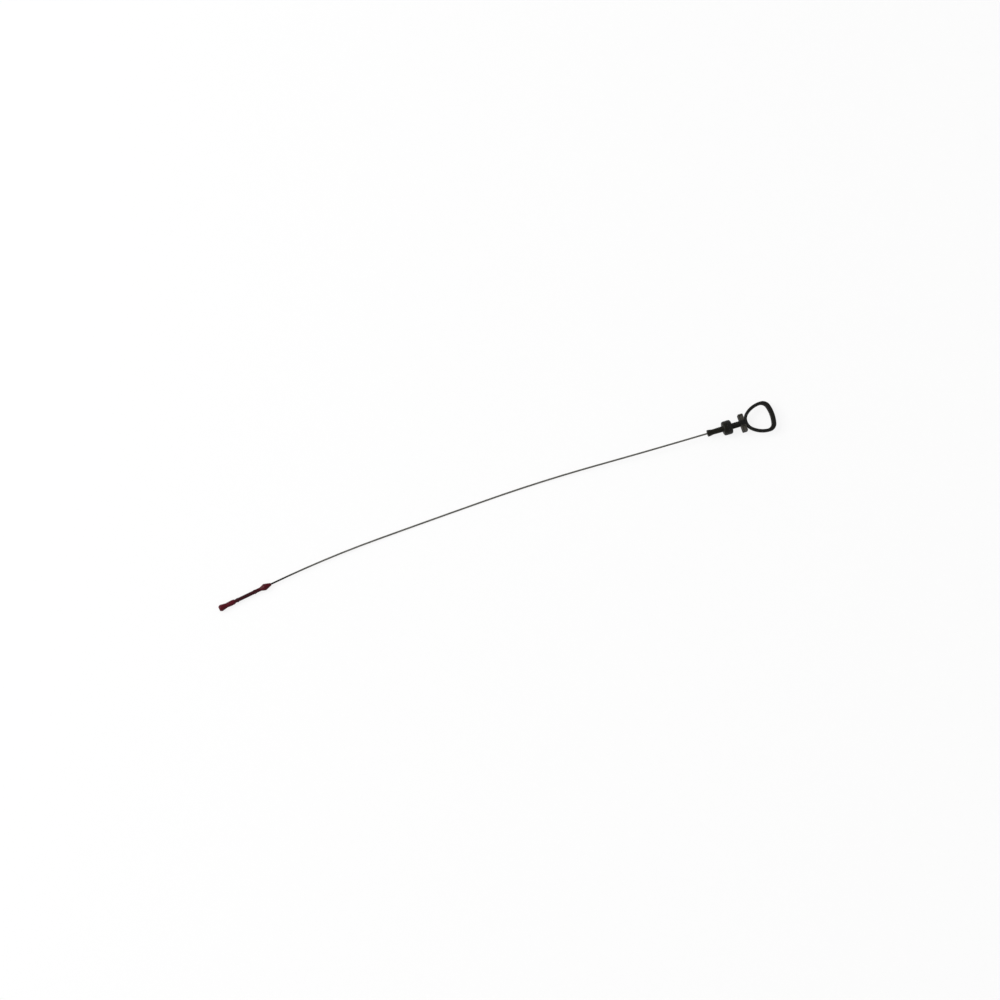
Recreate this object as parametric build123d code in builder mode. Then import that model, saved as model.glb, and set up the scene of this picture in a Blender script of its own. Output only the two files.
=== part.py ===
from build123d import *
from math import cos, radians, sin
import os

# Engine oil dipstick, lying as it comes to rest. Millimetres, +Z up.
# The origin is the centre of the plug's leading end, where the rod leaves it.
# +X runs along the plug axis to the finger loop, and the rod leaves along -X.

# Guide tube that the dipstick hangs in
tube_bore_d = 8.0
lip_clear = 0.05            # seal lip to the tube's bore, on the radius
bead_clear = 0.1            # beads of the level tip to the tube's bore, on the radius

# Gauge rod: round spring steel with a slight set, in four spans of equal length
rod_d = 2.0
rod_free = 540.5            # bare length between the plug and the level tip
rod_side_turns = (-1.8, 4.8, 0.75, 5.65)   # sideways set of each span, degrees
flat_taper = 2.0            # each end of the rod is pressed flat, as an anchor
flat_len = 4.5
flat_w = 3.0
flat_t = 1.05
flat_corner_r = 0.4
anchor_cover = 1.3          # plastic left between the upper anchor and the loop

# Seal bush: lip, sleeve and head
plug_len = 18.8             # leading end to the seat on the tube's rim
sleeve_wall = 1.1
sleeve_draft = 0.25         # sleeve wider at the head than at the lip, on the radius
lip_wall = 1.05
lip_land = 2.2
lip_flare = 4.0
lip_hollow_depth = 1.8
lip_hollow_draft = 0.9
seal_head_t = 5.0
seal_head_inset = 0.1       # seal head below the flange, on the radius
seal_head_round = 2.2
seal_root_round = 0.5

# Handle: spigot under the seal
spigot_wall = 1.1
spigot_nose = 2.6           # rubber between the lip's hollow and the spigot
spigot_bead_back = 4.0      # from the spigot's end to its retaining bead
spigot_bead_len = 2.4
spigot_bead_rise = 0.4

# Handle: flange and ribbed neck
flange_d = 17.0
flange_t = 6.0
flange_round = 2.4
flange_edge = 0.4
neck_len = 10.35
neck_wall = 1.2             # core of the neck round the rod
neck_rib_rise = 1.25
neck_rib_t = 1.8
neck_edge = 0.4
neck_root = 0.9             # blend of the neck into the flange

# Handle: crossbar with two hollowed wings
wing_span = 22.0
wing_len = 6.55
wing_t = 6.2
wing_corner_r = 1.3
wing_edge = 0.5
hub_w = 7.4                 # solid middle of the crossbar
pocket_rim = 1.2
pocket_depth = 1.5
pocket_corner_r = 0.65

# Handle: finger loop, a triangle with three bowed sides
loop_len = 36.3             # crossbar to the far side
loop_width = 38.2
loop_wide_back = 11.6       # from the far side to the widest place
loop_sink = 0.9             # how far the loop's rounded apex lies inside the crossbar
loop_far_r = 45.0           # bow of the far side
side_bar = 3.7
far_bar = 5.8
loop_t = 5.0
loop_corner_r = 10.0
loop_apex_r = 15.0
opening_corner_r = 6.5
loop_outer_edge = 2.0
loop_inner_edge = 1.2

# Level tip, in lengths that follow one another along its axis from the rod
throat_wall = 0.5
guide_rise = 7.9            # throat to the middle of the guide bead
guide_fall = 5.5
full_lead = 7.2             # bare stem ahead of the full mark
mark_gap = 21.8             # full mark to low mark
low_lead = 3.8              # low mark to the body
body_len = 9.7
end_rise = 7.3
end_fall = 2.6
bead_land = 1.0
bead_round = 1.2
guide_blend = 2.0
stem_d = 4.3
mark_w = 2.0
mark_rise = 0.4
body_step = 0.65
body_draft = 0.15           # body slimmer at the end bead, on the radius
body_swell = 0.28
body_edge = 0.35
end_blend = 3.0
end_taper = 1.2
end_round = 1.2

# Places along the plug axis
seat_x = plug_len
flange_x = seat_x + seal_head_t
neck_x = flange_x + flange_t
wing_x = neck_x + neck_len
wing_mid_x = wing_x + wing_len / 2
loop_x = wing_x + wing_len
anchor_x = loop_x - anchor_cover - flat_len - flat_taper
spigot_x = lip_hollow_depth + spigot_nose

# Radii about the plug axis, outwards from the rod
spigot_r = rod_d / 2 + spigot_wall
sleeve_r = spigot_r + sleeve_wall
root_r = sleeve_r + sleeve_draft
lip_r = tube_bore_d / 2 - lip_clear
hollow_r = lip_r - lip_wall
flange_r = flange_d / 2
seal_head_r = flange_r - seal_head_inset
neck_core_r = rod_d / 2 + neck_wall
neck_across = 2 * (neck_core_r + neck_rib_rise)

# Places along the level tip and radii about its axis
full_at = guide_rise + guide_fall + full_lead
low_at = full_at + mark_gap
body_at = low_at + low_lead
body_end = body_at + body_len
end_bead_at = body_end + end_rise
tip_len = end_bead_at + end_fall
bead_r = tube_bore_d / 2 - bead_clear
throat_r = rod_d / 2 + throat_wall
stem_r = stem_d / 2
body_r = stem_r + body_step
waist_r = body_r - body_draft
end_r = bead_r - end_taper

# Heights at rest: the flange, the middle of the rod and the tip's beads touch the floor
rod_span = rod_free / len(rod_side_turns)
drop_turn = (flange_r - rod_d / 2) / rod_span
rise_turn = (bead_r - rod_d / 2) / rod_span
rod_lift_turns = (-drop_turn, drop_turn, rise_turn, -rise_turn)


def bend(start, heading, side_turn, lift_turn, length):
    """End and heading of an arc that turns sideways and up by small angles in radians."""
    side = Vector(0, 0, 1).cross(heading).normalized()
    lift = heading.cross(side)
    turn = side * side_turn + lift * lift_turn
    angle = turn.length
    radius = length / angle
    inward = turn.normalized()
    end = start + heading * (radius * sin(angle)) + inward * (radius * (1 - cos(angle)))
    return end, heading * cos(angle) + inward * sin(angle)


# Gauge rod, moulded in at both ends
rod_into_tip = guide_rise - flat_taper - flat_len / 2
with BuildLine() as rod_line:
    rod_end = Vector(0, 0, 0)
    rod_heading = Vector(-1, 0, 0)
    Line((anchor_x, 0, 0), rod_end)
    for side_degrees, lift_turn in zip(rod_side_turns, rod_lift_turns):
        span_start = rod_end
        span_heading = rod_heading
        rod_end, rod_heading = bend(
            span_start, span_heading, radians(side_degrees), lift_turn, rod_span
        )
        TangentArc(span_start, rod_end, tangent=span_heading)
    lower_anchor = rod_end + rod_heading * rod_into_tip
    Line(rod_end, lower_anchor)

tip_side = Vector(0, 0, 1).cross(rod_heading).normalized()
upper_plane = Plane(origin=(anchor_x, 0, 0), x_dir=(0, 1, 0), z_dir=(1, 0, 0))
lower_plane = Plane(origin=lower_anchor, x_dir=tip_side, z_dir=rod_heading)

with BuildPart() as gauge_rod:
    with BuildSketch(upper_plane):
        Circle(rod_d / 2)
    sweep(path=rod_line.line)
    for anchor in (upper_plane, lower_plane):
        with BuildSketch(anchor):
            Circle(rod_d / 2)
        with BuildSketch(anchor.offset(flat_taper)):
            RectangleRounded(flat_w, flat_t, flat_corner_r)
        loft()
        with BuildSketch(anchor.offset(flat_taper)):
            RectangleRounded(flat_w, flat_t, flat_corner_r)
        extrude(amount=flat_len)
gauge_rod.part.label = "gauge_rod"

# Bow of the loop's two sides: arcs that leave the rounded apex and are level at the widest place
loop_wide_at = loop_len - loop_wide_back
apex_to_wide = loop_wide_at + loop_sink - loop_apex_r
apex_room = loop_width / 2 - loop_apex_r
loop_side_y = (apex_to_wide**2 - apex_room**2) / (2 * apex_room)
loop_side_r = loop_side_y + loop_width / 2


def bowed_triangle(far_r, side_r, apex_r, corner_r):
    """Triangle of three overlapping circles about the loop's own centres, corners rounded."""
    with BuildSketch() as outline:
        with Locations((loop_x + loop_len - loop_far_r, 0)):
            Circle(far_r)
        with Locations((loop_x + loop_wide_at, loop_side_y)):
            Circle(side_r, mode=Mode.INTERSECT)
        with Locations((loop_x + loop_wide_at, -loop_side_y)):
            Circle(side_r, mode=Mode.INTERSECT)
        fillet(outline.vertices().sort_by(Axis.X)[0], apex_r)
        fillet(outline.vertices().sort_by(Axis.X)[-2:], corner_r)
    return outline.sketch


loop_outside = bowed_triangle(loop_far_r, loop_side_r, loop_apex_r, loop_corner_r)
loop_opening = bowed_triangle(
    loop_far_r - far_bar, loop_side_r - side_bar, loop_apex_r - side_bar, opening_corner_r
)

# Finger loop of the handle, with rounded edges
with BuildPart() as finger_loop:
    with BuildSketch():
        add(loop_outside)
        add(loop_opening, mode=Mode.SUBTRACT)
    extrude(amount=loop_t / 2, both=True)
    for rim in finger_loop.faces().filter_by(Axis.Z):
        fillet(rim.outer_wire().edges(), loop_outer_edge)
    for rim in finger_loop.faces().filter_by(Axis.Z):
        fillet(rim.inner_wires()[0].edges(), loop_inner_edge)

# Crossbar of the handle, with pockets in both faces of each wing
with BuildPart() as crossbar:
    with BuildSketch():
        with Locations((wing_mid_x, 0)):
            RectangleRounded(wing_len, wing_span, wing_corner_r)
    extrude(amount=wing_t / 2, both=True)
    for rim in crossbar.faces().filter_by(Axis.Z):
        fillet(rim.edges(), wing_edge)
    pocket_w = wing_span / 2 - pocket_rim - hub_w / 2
    pocket_y = (hub_w + pocket_w) / 2
    for side in (1, -1):
        with BuildSketch(Plane.XY.offset(side * wing_t / 2)):
            with Locations((wing_mid_x, pocket_y), (wing_mid_x, -pocket_y)):
                RectangleRounded(wing_len - 2 * pocket_rim, pocket_w, pocket_corner_r)
        extrude(amount=-side * pocket_depth, mode=Mode.SUBTRACT)

# Handle, one moulding on the rod's upper end
with BuildPart() as handle:
    add(finger_loop.part)
    add(crossbar.part)
    # ribbed neck round a core that carries the rod
    with BuildSketch(Plane.YZ.offset(neck_x)) as neck_section:
        Circle(neck_core_r)
        Rectangle(neck_across, neck_rib_t)
        Rectangle(neck_rib_t, neck_across)
        fillet(neck_section.vertices().sort_by_distance((0, 0))[-8:], neck_edge)
    extrude(amount=neck_len)
    # spigot, its retaining bead and the flange
    with BuildSketch(Plane.XY) as plug_profile:
        with BuildLine():
            Polyline(
                (spigot_x, 0),
                (spigot_x, spigot_r),
                (flange_x, spigot_r),
                (flange_x, flange_r),
                (neck_x, flange_r),
                (neck_x, 0),
                close=True,
            )
        make_face()
        with Locations((spigot_x + spigot_bead_back, spigot_r)):
            Ellipse(spigot_bead_len / 2, spigot_bead_rise)
        fillet(plug_profile.vertices().sort_by_distance((flange_x, flange_r))[0], flange_edge)
        fillet(plug_profile.vertices().sort_by_distance((neck_x, flange_r))[0], flange_round)
    revolve(axis=Axis.X)
    flange_end = handle.faces().filter_by(Axis.X).sort_by_distance((neck_x, 0, neck_across / 2))[0]
    fillet(flange_end.inner_wires()[0].edges(), neck_root)
    add(gauge_rod.part, mode=Mode.SUBTRACT)
handle.part.label = "handle"

# Rubber seal bush over the spigot
with BuildPart() as seal_bush:
    with BuildSketch(Plane.XY) as seal_profile:
        with BuildLine():
            Polyline(
                (lip_hollow_depth, 0),
                (lip_hollow_depth, hollow_r - lip_hollow_draft),
                (0, hollow_r),
                (0, lip_r),
                (lip_land, lip_r),
                (lip_land + lip_flare, sleeve_r),
                (seat_x, root_r),
                (seat_x, seal_head_r),
                (flange_x, seal_head_r),
                (flange_x, 0),
                close=True,
            )
        make_face()
        fillet(seal_profile.vertices().sort_by_distance((seat_x, seal_head_r))[0], seal_head_round)
        fillet(seal_profile.vertices().sort_by_distance((seat_x, root_r))[0], seal_root_round)
    revolve(axis=Axis.X)
    add(handle.part, mode=Mode.SUBTRACT)
    add(gauge_rod.part, mode=Mode.SUBTRACT)
seal_bush.part.label = "seal_bush"

# Level tip, moulded on the rod's lower end
tip_plane = Plane(origin=rod_end, x_dir=rod_heading, z_dir=rod_heading.cross(tip_side))
with BuildPart() as level_tip:
    with BuildSketch(tip_plane) as tip_profile:
        with BuildLine():
            Polyline(
                (body_end, waist_r),
                (end_bead_at - bead_land / 2, bead_r),
                (end_bead_at + bead_land / 2, bead_r),
                (tip_len, end_r),
                (tip_len, 0),
                (0, 0),
                (0, throat_r),
                (guide_rise - bead_land / 2, bead_r),
                (guide_rise + bead_land / 2, bead_r),
                (guide_rise + guide_fall, stem_r),
                (body_at, stem_r),
                (body_at, body_r),
            )
            SagittaArc((body_at, body_r), (body_end, waist_r), body_swell)
        make_face()
        with Locations((full_at, stem_r), (low_at, stem_r)):
            Ellipse(mark_w / 2, mark_rise)
        for bead_at in (guide_rise, end_bead_at):
            fillet(tip_profile.vertices().sort_by_distance((bead_at, bead_r))[:2], bead_round)
        for corner, blend in (
            ((guide_rise + guide_fall, stem_r), guide_blend),
            ((body_at, body_r), body_edge),
            ((body_end, waist_r), end_blend),
            ((tip_len, end_r), end_round),
        ):
            fillet(tip_profile.vertices().sort_by_distance(corner)[0], blend)
    revolve(axis=Axis(rod_end, rod_heading))
    add(gauge_rod.part, mode=Mode.SUBTRACT)
level_tip.part.label = "level_tip"

os.makedirs("parts", exist_ok=True)
for piece in (handle, seal_bush, gauge_rod, level_tip):
    export_step(piece.part, f"parts/{piece.part.label}.step")
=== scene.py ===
import bpy
from math import cos, radians, sin
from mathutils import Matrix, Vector


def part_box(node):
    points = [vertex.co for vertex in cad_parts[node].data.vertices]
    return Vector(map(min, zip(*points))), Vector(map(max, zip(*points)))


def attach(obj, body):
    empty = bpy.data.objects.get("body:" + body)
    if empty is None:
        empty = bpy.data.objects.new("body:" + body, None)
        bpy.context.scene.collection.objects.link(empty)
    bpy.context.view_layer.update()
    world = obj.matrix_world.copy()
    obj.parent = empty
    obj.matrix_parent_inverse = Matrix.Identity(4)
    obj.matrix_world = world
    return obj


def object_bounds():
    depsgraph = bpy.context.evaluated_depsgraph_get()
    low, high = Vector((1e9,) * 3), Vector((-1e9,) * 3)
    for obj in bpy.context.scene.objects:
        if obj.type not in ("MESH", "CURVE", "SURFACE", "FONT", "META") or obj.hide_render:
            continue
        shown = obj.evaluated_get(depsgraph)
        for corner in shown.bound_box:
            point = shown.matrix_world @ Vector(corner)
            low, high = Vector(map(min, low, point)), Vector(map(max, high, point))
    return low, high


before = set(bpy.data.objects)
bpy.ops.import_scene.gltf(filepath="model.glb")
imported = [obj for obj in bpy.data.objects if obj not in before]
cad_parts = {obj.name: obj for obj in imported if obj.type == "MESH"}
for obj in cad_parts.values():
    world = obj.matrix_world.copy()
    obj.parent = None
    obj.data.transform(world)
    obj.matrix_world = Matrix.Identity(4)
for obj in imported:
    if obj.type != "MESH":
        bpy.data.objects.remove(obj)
cad_low, cad_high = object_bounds()
MM = 0.001

# View of the photograph: lens, direction, and the floor point at its centre
LENS_MM = 85.0
SENSOR_MM = 36.0
VIEW_ELEVATION = 75.0
VIEW_AZIMUTH = -17.11
VIEW_DISTANCE = 2760.6 * MM
VIEW_CENTRE = Vector((-255.94 * MM, -3.36 * MM, cad_low.z))

# Places on the dipstick
handle_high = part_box("handle")[1]
seal_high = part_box("seal_bush")[1]
tip_low, tip_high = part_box("level_tip")
TIP_LENGTH = tip_high[0] - tip_low[0]
TIP_AXIS_Z = (tip_low[2] + tip_high[2]) / 2
STEM_START = tip_high[0] - 0.16 * TIP_LENGTH
STEM_END = tip_low[0] + 0.28 * TIP_LENGTH
CROSSBAR_X = 43.4 * MM
CROSSBAR_LENGTH = 6.55 * MM
CROSSBAR_TOP = 3.1 * MM
HUB_WIDTH = 7.4 * MM
LOOP_TOP = 2.5 * MM
FAR_BAR_X = handle_high[0] - 3.3 * MM
FAR_BAR_BOW = 1.5 * MM

# Parting ridges that the moulds leave
RIDGE_WIDTH = 0.3 * MM
RIDGE_RISE = 0.09 * MM
RIDGE_EDGE = 0.04 * MM
SEAL_RIDGE_BACK = 1.5 * MM
ROD_TOUCH = 0.25 * MM
WELD = 0.001 * MM
SHARP_CORNER = radians(60)
SMOOTH_CORNER = radians(40)
LEVEL_FACE = 0.9

# Marks of the mould's ejector pins
EJECTOR_R = 1.1 * MM
EJECTOR_SIDES = 40
EJECTOR_RISE = 0.08 * MM
EJECTOR_RIM = 0.15 * MM
EJECTOR_SINK = 0.06 * MM
EJECTOR_SPREAD = 11.0 * MM

# Finishes: unevenness, grain, wear, oil, the darker stem, and the wings' painted top sheen with dust
NOISE_LOW = 0.3
NOISE_HIGH = 0.7
GRAIN_STRENGTH = 0.25
GRAIN_DEPTH = 0.1 * MM
EDGE_REACH = 0.6 * MM
EDGE_FLAT = 0.995
EDGE_TURNED = 0.9
EDGE_SHARE = 0.35
# Painted sheen with dust: paler grey on the flat faces of the crossbar's wings
WING_SHEEN_DUST_PATCH = 2.5 * MM
WING_SHEEN_DUST_LEAST = 0.45
WING_SHEEN_DUST_STEEP = 0.35
WING_SHEEN_DUST_LEVEL = 0.9
WING_SHEEN_DUST_BORDER = 0.3 * MM
WING_SHEEN_DUST_INNER = 0.3 * HUB_WIDTH
WING_SHEEN_DUST_OUTER = 0.65 * HUB_WIDTH
STEM_DARK_SHARE = 0.65
STEM_DARK_START = 9.0 * MM
STEM_DARK_END = 5.0 * MM
ROD_OIL_SHARE = 0.9
ROD_OIL_LENGTH = 55.0 * MM
ROD_RUB_LENGTH = 25.0 * MM
ROD_RUB_SHARE = 0.4
STEEL_LINE = 0.3 * MM
STEEL_STRETCH = 50.0
STEEL_GLOSS = (0.28, 0.4)
STEEL_STRENGTH = 0.2
STEEL_DEPTH = 0.05 * MM

# Studio
KEY_FROM = Vector((-0.8, 0.35, 0.9))
KEY_DISTANCE = 4.0
KEY_SIZE = 2.7
KEY_POWER = 118.0
WORLD_STRENGTH = 0.55
SWEEP_R = 7.0
SWEEP_SIDES = 96
SWEEP_HEIGHT = 3.5
SWEEP_BEND = 2.5
SWEEP_STEPS = 12
SWEEP_GLOW = 0.85


def linear(colour):
    """sRGB hex colour as linear RGBA."""
    shares = [int(colour[start:start + 2], 16) / 255 for start in (1, 3, 5)]
    return [*(c / 12.92 if c <= 0.04045 else ((c + 0.055) / 1.055) ** 2.4 for c in shares), 1.0]


def add_node(tree, kind, inputs=None, **settings):
    """One shader node. Its inputs are values, or the sockets that feed them."""
    node = tree.nodes.new(kind)
    for name, value in settings.items():
        setattr(node, name, value)
    for socket, value in (inputs or {}).items():
        if isinstance(value, bpy.types.NodeSocket):
            tree.links.new(value, node.inputs[socket])
        else:
            node.inputs[socket].default_value = value
    return node


def new_material(name):
    """Material with its node tree and its shader."""
    material = bpy.data.materials.new(name)
    material.use_nodes = True
    return material, material.node_tree, material.node_tree.nodes["Principled BSDF"]


def patches(tree, place, size, low, high):
    """Soft patches of a real size, running from one value to another."""
    noise = add_node(tree, "ShaderNodeTexNoise", {"Vector": place, "Scale": 1 / size, "Detail": 4.0})
    spread = {
        "Value": noise.outputs[0],
        "From Min": NOISE_LOW,
        "From Max": NOISE_HIGH,
        "To Min": low,
        "To Max": high,
    }
    return add_node(tree, "ShaderNodeMapRange", spread).outputs[0]


def fade(tree, place, axis, start, full, most):
    """Share that grows smoothly along an axis, from none at one place to its most at another.

    Across the dipstick and in height it grows alike to both sides."""
    along = add_node(tree, "ShaderNodeSeparateXYZ", {0: place}).outputs[axis]
    if axis != "X":
        along = add_node(tree, "ShaderNodeMath", {0: along}, operation="ABSOLUTE").outputs[0]
    spread = {"Value": along, "From Min": start, "From Max": full, "To Max": most}
    return add_node(tree, "ShaderNodeMapRange", spread, interpolation_type="SMOOTHSTEP").outputs[0]


def rubbed_edges(tree):
    """Share of wear, greatest where the surface turns over an edge."""
    rounded = add_node(tree, "ShaderNodeBevel", {"Radius": EDGE_REACH}, samples=8)
    surface = add_node(tree, "ShaderNodeNewGeometry")
    normals = {0: rounded.outputs[0], 1: surface.outputs["Normal"]}
    agree = add_node(tree, "ShaderNodeVectorMath", normals, operation="DOT_PRODUCT").outputs["Value"]
    spread = {"Value": agree, "From Min": EDGE_FLAT, "From Max": EDGE_TURNED, "To Max": EDGE_SHARE}
    return add_node(tree, "ShaderNodeMapRange", spread).outputs[0]


def moulded(name, dark, light, worn, patch, gloss, shine, grain):
    """Moulded finish: hazy colour patches, uneven gloss, fine grain and edges rubbed paler."""
    material, tree, shader = new_material(name)
    place = add_node(tree, "ShaderNodeTexCoord").outputs["Object"]
    haze = {0: patches(tree, place, patch, 0.0, 1.0), 6: linear(dark), 7: linear(light)}
    colour = add_node(tree, "ShaderNodeMix", haze, data_type="RGBA").outputs[2]
    wear = {0: rubbed_edges(tree), 6: colour, 7: linear(worn)}
    colour = add_node(tree, "ShaderNodeMix", wear, data_type="RGBA").outputs[2]
    tree.links.new(colour, shader.inputs["Base Color"])
    tree.links.new(patches(tree, place, patch / 3, *gloss), shader.inputs["Roughness"])
    shader.inputs["Specular IOR Level"].default_value = shine
    # The real grain is a few hundredths of a millimetre: it is drawn coarser, to show
    speckle = add_node(tree, "ShaderNodeTexNoise", {"Vector": place, "Scale": 1 / grain, "Detail": 2.0})
    relief = {"Height": speckle.outputs[0], "Strength": GRAIN_STRENGTH, "Distance": GRAIN_DEPTH}
    tree.links.new(add_node(tree, "ShaderNodeBump", relief).outputs[0], shader.inputs["Normal"])
    return material, tree, shader, place, colour


def loop_nylon():
    """Glass-filled nylon of the handle."""
    # Soft warm black with a satin glow, and grey on the wings' flat faces: partly a painted sheen of light
    # from above, partly thumb wear and dust
    material, tree, shader, place, colour = moulded(
        "glass_filled_nylon",
        dark="#080806",
        light="#12110d",
        worn="#26251f",
        patch=9 * MM,
        gloss=(0.42, 0.56),
        shine=0.18,
        grain=0.5 * MM,
    )
    near_side = CROSSBAR_X - CROSSBAR_LENGTH / 2
    far_side = CROSSBAR_X + CROSSBAR_LENGTH / 2
    facing = add_node(tree, "ShaderNodeTexCoord").outputs["Normal"]
    patch_share = patches(tree, place, WING_SHEEN_DUST_PATCH, WING_SHEEN_DUST_LEAST, 1.0)
    patch_share = fade(tree, facing, "Z", WING_SHEEN_DUST_STEEP, WING_SHEEN_DUST_LEVEL, patch_share)
    patch_share = fade(tree, place, "X", near_side - WING_SHEEN_DUST_BORDER, near_side, patch_share)
    patch_share = fade(tree, place, "X", far_side + WING_SHEEN_DUST_BORDER, far_side, patch_share)
    patch_share = fade(tree, place, "Y", WING_SHEEN_DUST_INNER, WING_SHEEN_DUST_OUTER, patch_share)
    # Painted top sheen, with some dust and thumb wear: the wings' flat faces turn pale grey
    sheen_and_dust = {0: patch_share, 6: colour, 7: linear("#504d46")}
    colour = add_node(tree, "ShaderNodeMix", sheen_and_dust, data_type="RGBA").outputs[2]
    tree.links.new(colour, shader.inputs["Base Color"])
    return material


def seal_rubber():
    """Nitrile rubber of the seal bush."""
    # Deep warm black with a soft broad sheen on the rounded head and lip
    return moulded(
        "nitrile_rubber",
        dark="#0c0b06",
        light="#151409",
        worn="#2a2822",
        patch=4 * MM,
        gloss=(0.42, 0.54),
        shine=0.16,
        grain=0.4 * MM,
    )[0]


def tip_nylon():
    """Red nylon of the level tip."""
    # Dark ruby with a low gloss, darker and browner along the stem between the bulbs
    material, tree, shader, place, colour = moulded(
        "red_nylon",
        dark="#3e0510",
        light="#500918",
        worn="#621628",
        patch=6 * MM,
        gloss=(0.3, 0.42),
        shine=0.13,
        grain=0.5 * MM,
    )
    # Darker, browner band along the stem between the bulbs
    dark_share = fade(tree, place, "X", STEM_START, STEM_START - STEM_DARK_START, STEM_DARK_SHARE)
    dark_share = fade(tree, place, "X", STEM_END, STEM_END + STEM_DARK_END, dark_share)
    darkened = {0: dark_share, 6: colour, 7: linear("#1c0a0c")}
    colour = add_node(tree, "ShaderNodeMix", darkened, data_type="RGBA").outputs[2]
    tree.links.new(colour, shader.inputs["Base Color"])
    return material


def rod_steel():
    """Tempered spring wire of the gauge rod."""
    # Dull grey steel with drawing lines and brighter rubs, going dark with oil towards the tip.
    # Its thin oxide keeps the sides of the round wire nearly as grey as the middle
    material, tree, shader = new_material("tempered_spring_wire")
    shader.inputs["Metallic"].default_value = 1.0
    shader.inputs["Specular Tint"].default_value = linear("#606060")
    place = add_node(tree, "ShaderNodeTexCoord").outputs["Object"]
    # The real lines are hundredths of a millimetre wide: these are drawn coarser, to show
    along = {"Vector": place, "Scale": (1 / STEEL_STRETCH, 1.0, 1.0)}
    stretched = add_node(tree, "ShaderNodeMapping", along).outputs[0]
    drawn = {0: patches(tree, stretched, STEEL_LINE, 0.0, 1.0), 6: linear("#5c5b56"), 7: linear("#6e6d68")}
    colour = add_node(tree, "ShaderNodeMix", drawn, data_type="RGBA").outputs[2]
    patch_share = patches(tree, place, ROD_RUB_LENGTH, 0.0, ROD_RUB_SHARE)
    rubbed = {0: patch_share, 6: colour, 7: linear("#85837d")}
    colour = add_node(tree, "ShaderNodeMix", rubbed, data_type="RGBA").outputs[2]
    dark_share = fade(tree, place, "X", tip_high[0] + ROD_OIL_LENGTH, tip_high[0], ROD_OIL_SHARE)
    darkened = {0: dark_share, 6: colour, 7: linear("#161412")}
    colour = add_node(tree, "ShaderNodeMix", darkened, data_type="RGBA").outputs[2]
    tree.links.new(colour, shader.inputs["Base Color"])
    tree.links.new(patches(tree, stretched, STEEL_LINE, *STEEL_GLOSS), shader.inputs["Roughness"])
    lines = add_node(tree, "ShaderNodeTexNoise", {"Vector": stretched, "Scale": 1.5 / STEEL_LINE})
    relief = {"Height": lines.outputs[0], "Strength": STEEL_STRENGTH, "Distance": STEEL_DEPTH}
    tree.links.new(add_node(tree, "ShaderNodeBump", relief).outputs[0], shader.inputs["Normal"])
    return material


def sweep_white():
    """White paint of the studio sweep."""
    # Even white that glows for the eye and in reflections, and keeps a faint shadow
    material, tree, shader = new_material("white_sweep")
    shader.inputs["Base Color"].default_value = linear("#f4f4f4")
    shader.inputs["Roughness"].default_value = 0.9
    shader.inputs["Specular IOR Level"].default_value = 0.0
    rays = add_node(tree, "ShaderNodeLightPath").outputs
    seen = {0: rays["Is Camera Ray"], 1: rays["Is Glossy Ray"]}
    seen = add_node(tree, "ShaderNodeMath", seen, operation="ADD").outputs[0]
    seen = {0: seen, 1: rays["Is Transmission Ray"]}
    seen = add_node(tree, "ShaderNodeMath", seen, operation="ADD").outputs[0]
    glow_share = add_node(tree, "ShaderNodeMath", {0: seen, 1: SWEEP_GLOW}, operation="MULTIPLY").outputs[0]
    glow = add_node(tree, "ShaderNodeEmission", {"Color": linear("#ffffff"), "Strength": 1.0}).outputs[0]
    both = add_node(tree, "ShaderNodeMixShader", {0: glow_share, 1: shader.outputs[0], 2: glow}).outputs[0]
    tree.links.new(both, tree.nodes["Material Output"].inputs["Surface"])
    return material


def choose_faces(piece, wanted):
    """Opens the piece for editing with only the faces selected whose normals are wanted."""
    bpy.ops.object.mode_set(mode="EDIT")
    bpy.ops.mesh.select_mode(type="FACE")
    bpy.ops.mesh.select_all(action="DESELECT")
    bpy.ops.object.mode_set(mode="OBJECT")
    for face in piece.data.polygons:
        face.select = wanted(face.normal)
    bpy.ops.object.mode_set(mode="EDIT")


def off_the_rod(place):
    """True where a moulding's surface isn't the wall of the rod's own seat."""
    found, nearest, normal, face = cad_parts["gauge_rod"].closest_point_on_mesh(place)
    return (nearest - place).length > ROD_TOUCH


def cut_line(node, name, place, normal, shows):
    """Line where a plane cuts a moulding, kept where it shows, and left open for editing."""
    line = bpy.data.objects.new(name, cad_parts[node].data.copy())
    bpy.context.collection.objects.link(line)
    bpy.ops.object.select_all(action="DESELECT")
    line.select_set(True)
    bpy.context.view_layer.objects.active = line
    bpy.ops.mesh.customdata_custom_splitnormals_clear()
    bpy.ops.object.mode_set(mode="EDIT")
    bpy.ops.mesh.select_mode(type="VERT")
    bpy.ops.mesh.select_all(action="SELECT")
    bpy.ops.mesh.remove_doubles(threshold=WELD)
    bpy.ops.mesh.bisect(plane_co=place, plane_no=normal, clear_inner=True, clear_outer=True)
    bpy.ops.mesh.select_all(action="DESELECT")
    bpy.ops.object.mode_set(mode="OBJECT")
    for corner in line.data.vertices:
        corner.select = not shows(corner.co)
    bpy.ops.object.mode_set(mode="EDIT")
    bpy.ops.mesh.delete(type="VERT")
    bpy.ops.mesh.select_all(action="SELECT")
    bpy.ops.mesh.remove_doubles(threshold=RIDGE_EDGE)
    return line


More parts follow.
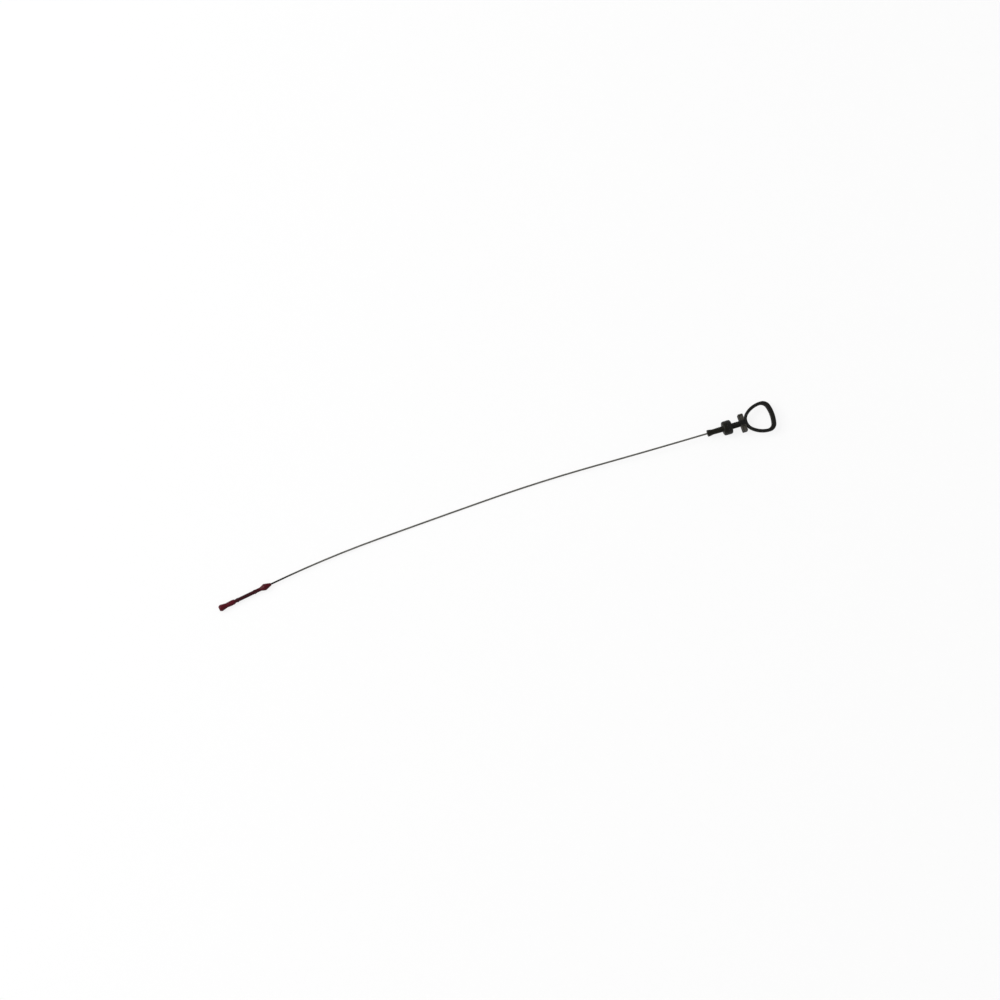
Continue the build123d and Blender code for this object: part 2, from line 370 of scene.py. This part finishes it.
def parting_line(node, place, normal, shows):
    """Fine ridge round a moulding, where the two halves of its mould met."""
    across = Vector(normal) * RIDGE_WIDTH
    ridge = cut_line(node, node + "_parting_line", Vector(place) - across / 2, normal, shows)
    bpy.ops.mesh.extrude_edges_move(TRANSFORM_OT_translate={"value": across})
    bpy.ops.mesh.select_all(action="SELECT")
    bpy.ops.mesh.normals_make_consistent(inside=False)
    bpy.ops.object.mode_set(mode="OBJECT")
    thick = ridge.modifiers.new("thick", "SOLIDIFY")
    thick.thickness = 2 * RIDGE_RISE
    thick.offset = 0.0
    soft = ridge.modifiers.new("soft", "BEVEL")
    soft.width = RIDGE_EDGE
    soft.segments = 2
    soft.angle_limit = SHARP_CORNER
    bpy.ops.object.modifier_apply(modifier="thick")
    bpy.ops.object.modifier_apply(modifier="soft")
    bpy.ops.object.mode_set(mode="EDIT")
    bpy.ops.mesh.select_all(action="SELECT")
    bpy.ops.mesh.normals_make_consistent(inside=False)
    bpy.ops.object.mode_set(mode="OBJECT")
    bpy.ops.object.shade_smooth_by_angle(angle=SMOOTH_CORNER)
    return ridge


def ejector_marks(places):
    """Round marks that the mould's ejector pins leave on the handle: low rims round a sunk middle."""
    disc = {"vertices": EJECTOR_SIDES, "radius": EJECTOR_R, "depth": 2 * EJECTOR_RISE}
    bpy.ops.object.select_all(action="DESELECT")
    bpy.ops.mesh.primitive_cylinder_add(location=places[0], **disc)
    marks = bpy.context.object
    marks.name = "handle_ejector_marks"
    bpy.ops.object.transform_apply(location=True, rotation=True, scale=True)
    bpy.ops.object.mode_set(mode="EDIT")
    for place in places[1:]:
        bpy.ops.mesh.primitive_cylinder_add(location=place, **disc)
    bpy.ops.object.mode_set(mode="OBJECT")
    choose_faces(marks, lambda normal: normal.z > LEVEL_FACE)
    bpy.ops.mesh.inset(thickness=EJECTOR_RIM, use_individual=True)
    bpy.ops.mesh.extrude_region_move(TRANSFORM_OT_translate={"value": (0, 0, -EJECTOR_SINK)})
    bpy.ops.object.mode_set(mode="OBJECT")
    bpy.ops.object.shade_smooth_by_angle(angle=SMOOTH_CORNER)
    return marks


def fit(piece, material):
    """Gives a modelled mark the finish of the piece it is on, and carries it with the dipstick."""
    piece.data.materials.clear()
    piece.data.materials.append(material)
    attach(piece, "root")


def white_sweep():
    """Studio floor that bends up into a wall all round."""
    middle = VIEW_CENTRE + Vector((0, 0, SWEEP_HEIGHT / 2))
    bpy.ops.object.select_all(action="DESELECT")
    bpy.ops.mesh.primitive_cylinder_add(
        vertices=SWEEP_SIDES, radius=SWEEP_R, depth=SWEEP_HEIGHT, location=middle
    )
    floor = bpy.context.object
    floor.name = "floor"
    choose_faces(floor, lambda normal: normal.z > LEVEL_FACE)
    bpy.ops.mesh.delete(type="FACE")
    bpy.ops.object.mode_set(mode="OBJECT")
    choose_faces(floor, lambda normal: normal.z < -LEVEL_FACE)
    bpy.ops.mesh.bevel(offset=SWEEP_BEND, segments=SWEEP_STEPS)
    bpy.ops.mesh.select_all(action="SELECT")
    bpy.ops.mesh.flip_normals()
    bpy.ops.object.mode_set(mode="OBJECT")
    bpy.ops.object.shade_smooth_by_angle(angle=SMOOTH_CORNER)
    floor.data.materials.append(sweep_white())
    return floor


# Finishes of the four pieces
nylon = loop_nylon()
rubber = seal_rubber()
red = tip_nylon()
steel = rod_steel()
for node, finish in (("handle", nylon), ("seal_bush", rubber), ("level_tip", red), ("gauge_rod", steel)):
    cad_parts[node].material_slots[0].material = finish

# Parting ridges: along the handle and the tip at mid height, and round the seal's head
handle_ridge = parting_line(
    "handle", (0, 0, 0), (0, 0, 1), lambda at: at.x > seal_high[0] and off_the_rod(at)
)
fit(handle_ridge, nylon)
tip_ridge = parting_line("level_tip", (0, 0, TIP_AXIS_Z), (0, 0, 1), off_the_rod)
fit(tip_ridge, red)
seal_ridge = parting_line(
    "seal_bush",
    (seal_high[0] - SEAL_RIDGE_BACK, 0, 0),
    (1, 0, 0),
    lambda at: at.yz.length > seal_high[2] / 2,
)
fit(seal_ridge, rubber)

# Ejector marks: one on the crossbar's hub and three along the loop's far bar
pin_places = [
    (CROSSBAR_X, 0, CROSSBAR_TOP),
    (FAR_BAR_X, 0, LOOP_TOP),
    (FAR_BAR_X - FAR_BAR_BOW, EJECTOR_SPREAD, LOOP_TOP),
    (FAR_BAR_X - FAR_BAR_BOW, -EJECTOR_SPREAD, LOOP_TOP),
]
fit(ejector_marks(pin_places), nylon)

# Studio: the white sweep, a large soft panel beyond the tip, and an even white world
floor = white_sweep()
towards_key = KEY_FROM.normalized()
bpy.ops.object.light_add(type="AREA", location=VIEW_CENTRE + towards_key * KEY_DISTANCE)
key = bpy.context.object
key.name = "key_panel"
key.data.size = KEY_SIZE
key.data.energy = KEY_POWER
key.rotation_euler = (-towards_key).to_track_quat("-Z", "Y").to_euler()
world = bpy.data.worlds.new("studio")
bpy.context.scene.world = world
world.use_nodes = True
world.node_tree.nodes["Background"].inputs["Color"].default_value = linear("#ffffff")
world.node_tree.nodes["Background"].inputs["Strength"].default_value = WORLD_STRENGTH

# Camera at the photograph's viewing angle
heading = radians(VIEW_AZIMUTH)
tilt = radians(VIEW_ELEVATION)
back = Vector((sin(heading) * cos(tilt), -cos(heading) * cos(tilt), sin(tilt)))
bpy.ops.object.camera_add(location=VIEW_CENTRE + back * VIEW_DISTANCE)
camera = bpy.context.object
camera.rotation_euler = (-back).to_track_quat("-Z", "Y").to_euler()
camera.data.lens = LENS_MM
camera.data.sensor_width = SENSOR_MM
bpy.context.scene.camera = camera
bpy.context.scene.view_settings.view_transform = "Standard"
